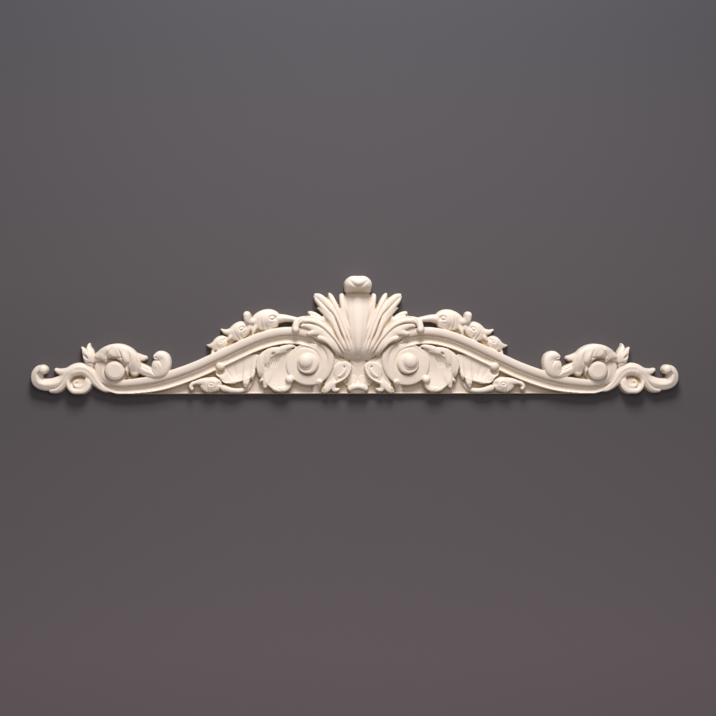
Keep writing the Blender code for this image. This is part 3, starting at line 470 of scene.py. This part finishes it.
groove([(334, 36.4, 0.8, 0.3), (324, 31.4, 1.2, 1), (314, 28.6, 0.9, 0.6)])
groove([(377, 4.6, 0.9, 1), (389.6, 9.4, 1.4, 2.2), (397, 19.4, 1.6, 2.8), (401, 31, 1.6, 2.8),
        (404, 42, 1.2, 1.8)])
groove([(378, 54.4, 0.9, 1.6), (372, 56.6, 1.2, 2.6), (366, 55.6, 1.2, 2.6), (361, 56.6, 1, 1.6)])

# The buds: one split bud stands up between the end scroll and the outer scroll on each side. It is a closed
# calyx with two points and a slanted slit down its face.
ridge([(408.6, 42, 5, 14), (410.4, 50, 7.6, 18), (411.6, 58.4, 9.8, 19), (411, 65.6, 6.8, 17),
       (411.8, 70.4, 4.4, 15), (411.6, 75, 2.8, 13), (410.8, 77.8, 1.4, 12)], 0.8)
ridge([(413.6, 54, 6, 16), (417, 63, 5.4, 15), (420, 68.4, 3.2, 13), (423.4, 72.6, 1.2, 11)], 0.9)
drill(415.4, 57.4, 5, 1.7, 0.8, 4.6)
groove([(406.6, 49, 0.8, 0.5), (405.6, 58, 1.1, 1.2), (407.4, 69, 0.8, 0.5)])
groove([(412.6, 63, 0.8, 0.5), (414.6, 67.6, 1.1, 1.4), (416.6, 71.6, 0.9, 1)])
groove([(402, 45.4, 0.9, 0.8), (409, 48, 1.3, 2), (415, 46.4, 0.9, 0.8)])

# The outer scrolls: a stem rises from under the end scroll, arches over a rosette, and splits. One point of
# its leaf lies back and the other sweeps out to the end of the casting, where it curls up into a ball.
boss(427, 17, 17, 16.2, 10.6, 8, 0.5)
ridge([(443.4, 27, 2.6, 14.6), (442.4, 14, 4, 16.2), (435, 5.6, 5, 16.8), (422, 4.8, 5.4, 17),
       (413.2, 11.4, 5.6, 16.8), (412.6, 20, 4.4, 16), (416, 25, 2.4, 14)], 0.6, fillet=1.6)
ridge([(415.6, 21.4, 3, 15.4), (419, 14, 3.8, 15.6), (426, 11, 3.8, 15.4), (432.4, 13.4, 3, 14.6),
       (433, 18.4, 2.4, 13.4), (428.6, 20.4, 1.8, 12.4)], 0.7, True, 1.2)
groove([(438.4, 14, 1.1, 1.4), (437, 21, 2, 3), (430.6, 26, 2.6, 4), (423, 26, 2.2, 3.4),
        (418.6, 24, 1.2, 1.6)])
groove([(439, 13, 0.8, 0.8), (434.6, 8.4, 1.1, 1.4), (427, 7, 1.1, 1.4), (419, 9.6, 0.9, 0.8)])
ridge([(374, 5.4, 2, 11), (388, 8, 4.8, 13.4), (400, 18, 7.4, 15.4), (409, 30.4, 9.8, 16.6),
       (419, 37.6, 10.4, 17.6), (431, 37.6, 10.4, 17.6), (442, 31.4, 9.8, 16.6), (450, 21.2, 10.2, 15.6),
       (459, 10.6, 8.6, 14.6), (469, 6.2, 4.4, 13)], 0.6, True, flutes=3, flute_depth=0.6)
ridge([(446, 25.6, 9, 15), (456, 19, 10, 15.6), (468, 15.2, 9.8, 16), (480, 15.2, 9.6, 16.6),
       (488.8, 20, 9.8, 17.4), (490.6, 29, 9.2, 18.4), (487, 36.4, 8.2, 19.6), (481, 38.6, 7.2, 20.6)], 0.8,
      True, flutes=2, flute_depth=1)
ridge([(436, 35.6, 9, 17.4), (447, 34, 6.8, 16), (456, 34.8, 5, 14.4), (462.6, 38.2, 2.8, 11.6)], 0.7)
boss(480.4, 38, 7.4, 7.2, 21.8, 17, 0.5)
groove([(448, 27, 1, 0.6), (454, 15.6, 1.4, 2), (462, 9.4, 1.4, 2), (471, 8.4, 1, 0.8)])
groove([(484, 33.6, 1.2, 0.6), (488, 31.4, 2.4, 2.6), (486, 26.4, 2, 1.6), (481, 23, 1, 0.4)])

# The casting: the laid-up relief taken from its mould in one pour of cream polyurethane resin, matt and
# unpainted, with the faint unevenness of the rubber mould. Its colour also holds painted light: painted
# shade turns the deep hollows, the slopes that face down and the low ground olive and mauve, and a painted
# highlight lightens the crests.
WALL_TO_CRESTS = 36.0
HALF_HEIGHT = 91.25
THINNEST = 0.4
MOULD_SOFTNESS = 0.45
UNEVEN_SPAN = 9
UNEVEN_DEPTH = 0.35
SHADE_MASK_SPAN = 6
FACES_AT_MOST = 190_000


def softened(field, radius):
    """A Gaussian blur: each wave of the field times the exponential of its squared frequency, negative.

    The square is multiplied by twice the square of pi times the radius.
    """
    pad = int(4 * radius / SPACING) + 1
    padded = np.pad(field, pad, mode="reflect")
    rows, columns = padded.shape
    squared = np.fft.fftfreq(rows, SPACING)[:, None] ** 2 + np.fft.rfftfreq(columns, SPACING) ** 2
    kept = np.exp(-2 * (math.pi * radius) ** 2 * squared)
    return np.fft.irfft2(np.fft.rfft2(padded) * kept, padded.shape)[pad:-pad, pad:-pad]


# A gap one grid point wide would pinch the mesh. So a point between two solid ones on a diagonal is
# filled, and the first of two empty ones with solid above and below, from four sides and 30 times.
solid = inside > 0
for rows in (solid, solid.T, solid[:, ::-1], solid.T[:, ::-1]) * 30:
    rows[1:-1, 1:-1] |= rows[2:, 2:] & rows[:-2, :-2]
    pinched = ~(rows[1:-1, :-1] | rows[1:-1, 1:])
    pinched &= (rows[2:, :-1] | rows[2:, 1:]) & (rows[:-2, :-1] | rows[:-2, 1:])
    rows[1:-1, :-1] |= pinched
height = np.where(solid, np.clip(softened(height, MOULD_SOFTNESS), THINNEST, WALL_TO_CRESTS), 0)

# The empty points beside the solid move onto the outline: up the slope of the distance in, by that
# distance times the slope over the slope's square.
steep_z, steep_x = np.gradient(inside, SPACING)
to_outline = np.where(solid | (inside < -3), 0, inside / np.clip(steep_x**2 + steep_z**2, 0.25, None))
outline_x, outline_z = X - to_outline * steep_x, Z - to_outline * steep_z
outline_x[:, 0] = 0


def both_halves(right, sign=1):
    """The right half and its mirror image, side by side, sharing the centre line's column."""
    return np.hstack([sign * right[:, :0:-1], right])


solid = both_halves(solid) > 0
height = both_halves(height)
sheet_x, sheet_z = both_halves(outline_x, -1), both_halves(outline_z)
noise = np.random.default_rng(4).normal(size=height.shape)
uneven = softened(noise, UNEVEN_SPAN) * UNEVEN_SPAN / SPACING
height = np.where(solid, np.clip(height + UNEVEN_DEPTH * uneven, THINNEST, WALL_TO_CRESTS), 0)

# The painted-shade mask: what the blurred height has over its own, and more on slopes that face down.
# Hollows and undersides get painted shade from it, and crests, where it is below zero, a painted highlight.
facing_down = np.clip(softened(np.gradient(height, SPACING)[0], 0.8), 0, 1.6)
shade_mask = np.where(solid, softened(height, SHADE_MASK_SPAN) - height + 3 * facing_down, 0)

# The mesh: each cell with a solid corner is a face in front and one behind it on the wall. The empty
# corners are the rim, which both share.
cells = solid[:-1, :-1] | solid[1:, :-1] | solid[:-1, 1:] | solid[1:, 1:]
row, column = np.nonzero(cells)
width = solid.shape[1]
corner = row * width + column
quads = np.stack([corner, corner + 1, corner + width + 1, corner + width], 1)
used, quads = np.unique(quads, return_inverse=True)
quads = quads.reshape(-1, 4)
rim = ~solid.ravel()[used]
back = np.where(rim, np.arange(len(used)), len(used) + np.cumsum(~rim) - 1)
front_points = np.stack([sheet_x.ravel()[used], -height.ravel()[used], sheet_z.ravel()[used]], 1)
back_points = front_points[~rim] * (1, 0, 1)
points = np.vstack([front_points, back_points]) / 1000 - (0, 0, HALF_HEIGHT / 1000)
faces = np.vstack([quads, back[quads][:, ::-1]])
hollows = np.concatenate([shade_mask.ravel()[used], np.zeros(len(back_points))])

mesh = bpy.data.meshes.new("overlay casting")
mesh.vertices.add(len(points))
mesh.vertices.foreach_set("co", points.ravel())
mesh.loops.add(faces.size)
mesh.loops.foreach_set("vertex_index", faces.ravel())
mesh.polygons.add(len(faces))
mesh.polygons.foreach_set("loop_start", np.arange(0, faces.size, 4))
mesh.polygons.foreach_set("loop_total", np.full(len(faces), 4))
mesh.attributes.new("shade_mask", "FLOAT", "POINT").data.foreach_set("value", hollows)
mesh.update(calc_edges=True)
mesh.validate()
overlay = bpy.data.objects.new("overlay_casting", mesh)
bpy.context.scene.collection.objects.link(overlay)
fewer = overlay.modifiers.new("Fewer faces on the flats", "DECIMATE")
fewer.ratio = FACES_AT_MOST / (2 * len(mesh.polygons))
finished = bpy.data.meshes.new_from_object(overlay.evaluated_get(bpy.context.evaluated_depsgraph_get()))
overlay.modifiers.clear()
overlay.data = finished

# Having fewer faces leaves a few with an open edge, stuck to the rim on one side only. Those are cut off.
trimmed = bmesh.new()
trimmed.from_mesh(finished)
for _ in range(3):
    flaps = {edge.link_faces[0] for edge in trimmed.edges if edge.is_boundary}
    bmesh.ops.delete(trimmed, geom=list(flaps), context="FACES")
trimmed.to_mesh(finished)
trimmed.free()

# The flat back is shaded flat, the carving smooth, with a sharp line where it breaks by 65 degrees.
facing = np.empty(len(finished.polygons) * 3)
finished.polygons.foreach_get("normal", facing)
finished.polygons.foreach_set("use_smooth", facing[1::3] < 0.99)
finished.set_sharp_from_angle(angle=math.radians(65))


class Signal:
    """One shader socket in an expression: each operator adds the Math node that it stands for."""

    def __init__(self, tree, socket):
        self.tree, self.socket = tree, socket

    @classmethod
    def node(cls, tree, kind, settings, sockets, output=0):
        """A node of any other type: its settings first, then the values or signals of its sockets."""
        made = tree.nodes.new(kind)
        for name, value in settings.items():
            setattr(made, name, value)
        for name, value in sockets.items():
            if isinstance(value, cls):
                tree.links.new(value.socket, made.inputs[name])
            else:
                made.inputs[name].default_value = value
        return cls(tree, made.outputs[output])

    def operate(self, operation, first, second):
        return Signal.node(self.tree, "ShaderNodeMath", {"operation": operation}, {0: first, 1: second})

    def __add__(self, other):
        return self.operate("ADD", self, other)

    def __sub__(self, other):
        return self.operate("SUBTRACT", self, other)

    def __rsub__(self, other):
        return self.operate("SUBTRACT", other, self)

    def __mul__(self, other):
        return self.operate("MULTIPLY", self, other)

    def held(self):
        """The value kept between 0 and 1."""
        return Signal.node(self.tree, "ShaderNodeClamp", {}, {"Value": self})

    __radd__, __rmul__ = __add__, __mul__


def mixed(tree, share, first, second):
    """A colour between two, by share."""
    settings = {"data_type": "RGBA", "clamp_factor": True}
    return Signal.node(tree, "ShaderNodeMix", settings, {0: share, 6: first, 7: second}, 2)


CREAM = (0.80, 0.70, 0.60, 1)
ROSE_CREAM = (0.78, 0.665, 0.585, 1)
CREST_HIGHLIGHT_CREAM = (0.845, 0.765, 0.68, 1)
PAINTED_SHADE_OLIVE = (0.50, 0.385, 0.19, 1)
LOW_GROUND_SHADE_MAUVE = (0.60, 0.48, 0.41, 1)
resin = bpy.data.materials.new("cream cast resin")
resin.use_nodes = True
tree = resin.node_tree
surface = tree.nodes["Principled BSDF"]
place_on = Signal.node(tree, "ShaderNodeTexCoord", {}, {}, "Object")
clouds = Signal.node(tree, "ShaderNodeTexNoise", {}, {"Vector": place_on, "Scale": 14.0, "Detail": 2.0})
grain = Signal.node(tree, "ShaderNodeTexNoise", {}, {"Vector": place_on, "Scale": 700.0, "Detail": 3.0})
pits = Signal.node(tree, "ShaderNodeTexNoise", {}, {"Vector": place_on, "Scale": 160.0, "Detail": 2.0})
sunk = Signal.node(tree, "ShaderNodeAttribute", {"attribute_name": "shade_mask"}, {}, "Fac")
tone = mixed(tree, (clouds * 3 - 1).held(), CREAM, ROSE_CREAM)
# Painted highlight: crests, where the shade mask is below zero, go paler; the fine grain speckles it too.
tone = mixed(tree, (sunk * -0.16 + grain * 0.2 - 0.1).held(), tone, CREST_HIGHLIGHT_CREAM)
# Painted shade: the low ground, within about 9 mm of the wall, and the flat back are darkened to mauve.
low_ground_shade = Signal.node(tree, "ShaderNodeSeparateXYZ", {}, {"Vector": place_on}, 1) * 250 + 2.2
tone = mixed(tree, low_ground_shade.held() * 0.42, tone, LOW_GROUND_SHADE_MAUVE)
# Painted shade: hollows and slopes that face down go olive, as shade with warm bounce light; clouds vary
# it.
tone = mixed(tree, (sunk * 0.15 + clouds * 0.3 - 0.3).held() * 0.9, tone, PAINTED_SHADE_OLIVE)
tree.links.new(tone.socket, surface.inputs["Base Color"])
tree.links.new((0.46 + grain * 0.14 + sunk * 0.008).socket, surface.inputs["Roughness"])
fine = {"Height": grain * 0.4 + pits * 0.6, "Distance": 0.0004, "Strength": 0.25}
relief = Signal.node(tree, "ShaderNodeBump", {}, fine)
tree.links.new(relief.socket, surface.inputs["Normal"])
surface.inputs["Specular IOR Level"].default_value = 0.4
finished.materials.clear()
finished.materials.append(resin)
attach(overlay, "root")
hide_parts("overlay")

# The wall and the floor: a matt warm-grey board that the casting is pinned to, and the pale floor below it.
# The board is clear from behind, so that the casting's back can be seen.
WALL_GREY = (0.082, 0.0735, 0.0815, 1)
WALL_PAINTED_SHADE = (0.051, 0.050, 0.062, 1)
WALL_PAINTED_LIGHT = (0.138, 0.1175, 0.128, 1)
FLOOR_PALE = (0.70, 0.69, 0.67, 1)
FLOOR_DULL = (0.66, 0.65, 0.63, 1)
FLOOR_LEVEL = -1.5
WALL_TOP = 2.6
WALL_GAP = 0.001
REACH = 3


def sheet_of(name, corners):
    """A flat four-sided sheet through its corners."""
    flat = bpy.data.meshes.new(name)
    flat.from_pydata(corners, [], [(0, 1, 2, 3)])
    made = bpy.data.objects.new(name, flat)
    bpy.context.scene.collection.objects.link(made)
    return made


wall_foot = [(-REACH, WALL_GAP, FLOOR_LEVEL), (REACH, WALL_GAP, FLOOR_LEVEL)]
wall = sheet_of("wall_board", [*wall_foot, (REACH, WALL_GAP, WALL_TOP), (-REACH, WALL_GAP, WALL_TOP)])
wall.visible_shadow = False
paint = bpy.data.materials.new("warm grey paint")
paint.use_nodes = True
tree = paint.node_tree
painted = tree.nodes["Principled BSDF"]
cover = Signal.node(tree, "ShaderNodeTexCoord", {}, {}, "Object")
rolled = Signal.node(tree, "ShaderNodeTexNoise", {}, {"Vector": cover, "Scale": 2.0, "Detail": 2.0})
level = Signal.node(tree, "ShaderNodeSeparateXYZ", {}, {"Vector": cover}, 2)
# Painted shade and light: the paint is darker towards the top and lighter towards the bottom.
shade = mixed(tree, (level * 2.4 - 0.24 + rolled * 0.1).held(), WALL_GREY, WALL_PAINTED_SHADE)
shade = mixed(tree, (level * -2.6 - 0.34 + rolled * 0.1).held(), shade, WALL_PAINTED_LIGHT)
tree.links.new(shade.socket, painted.inputs["Base Color"])
painted.inputs["Roughness"].default_value = 0.8
behind = Signal.node(tree, "ShaderNodeNewGeometry", {}, {}, "Backfacing")
clear = Signal.node(tree, "ShaderNodeBsdfTransparent", {}, {})
front_paint = Signal(tree, painted.outputs[0])
board = Signal.node(tree, "ShaderNodeMixShader", {}, {0: behind, 1: front_paint, 2: clear})
tree.links.new(board.socket, tree.nodes["Material Output"].inputs["Surface"])
wall.data.materials.append(paint)
floor_corners = [(-REACH, -4), (REACH, -4), (REACH, REACH), (-REACH, REACH)]
floor = sheet_of("pale_floor", [(x, y, FLOOR_LEVEL) for x, y in floor_corners])
stone = bpy.data.materials.new("pale floor")
stone.use_nodes = True
tree = stone.node_tree
tiles = Signal.node(tree, "ShaderNodeTexCoord", {}, {}, "Object")
mottle = Signal.node(tree, "ShaderNodeTexNoise", {}, {"Vector": tiles, "Scale": 6.0, "Detail": 4.0})
honed = tree.nodes["Principled BSDF"]
tree.links.new(mixed(tree, mottle, FLOOR_PALE, FLOOR_DULL).socket, honed.inputs["Base Color"])
honed.inputs["Roughness"].default_value = 0.7
floor.data.materials.append(stone)

# The light and the camera: a wide soft lamp above and in front, a weak one from the front, and a lens far
# enough off that the casting is seen almost square on, from a little left of its centre.


def lamp(name, place, aim, size, watts, colour=(1, 1, 1)):
    """A square soft lamp that faces its aim: pitch and turn are the arctangents of the way there."""
    data = bpy.data.lights.new(name, "AREA")
    data.size, data.energy, data.color = size, watts, colour
    made = bpy.data.objects.new(name, data)
    made.location = place
    way = np.array(aim, float) - np.array(place, float)
    pitch = math.atan2(math.hypot(way[0], way[1]), -way[2])
    made.rotation_euler = (pitch, 0, math.atan2(-way[0], way[1]))
    bpy.context.scene.collection.objects.link(made)


lamp("key", (0.0, -1.1, 1.6), (0, 0, 0), 0.7, 47, (1, 0.97, 0.93))
lamp("front", (0.1, -2.4, 0.75), (0, 0, 0), 1.2, 14.5, (1, 0.92, 0.93))
lamp("behind", (0.3, 2.4, 0.15), (0, 0, 0), 1.4, 10)
world = bpy.data.worlds.new("soft room")
world.use_nodes = True
world.node_tree.nodes["Background"].inputs["Color"].default_value = (1, 0.93, 0.95, 1)
world.node_tree.nodes["Background"].inputs["Strength"].default_value = 0.1
bpy.context.scene.world = world
bpy.context.scene.view_settings.view_transform = "Standard"

DISTANCE = 2.5
YAW = 0.0503
LEVEL = -0.0355
ASIDE = 0.0008
PIXELS_PER_METRE = 646.4
PICTURE_PIXELS = 716
SENSOR = 36
lens = bpy.data.cameras.new("camera")
lens.sensor_width = SENSOR
lens.lens = SENSOR * PIXELS_PER_METRE * DISTANCE / PICTURE_PIXELS
camera = bpy.data.objects.new("camera", lens)
camera.location = (ASIDE - DISTANCE * YAW, -DISTANCE * math.cos(YAW), LEVEL)
camera.rotation_euler = (math.pi / 2, 0, -YAW)
bpy.context.scene.collection.objects.link(camera)
bpy.context.scene.camera = camera
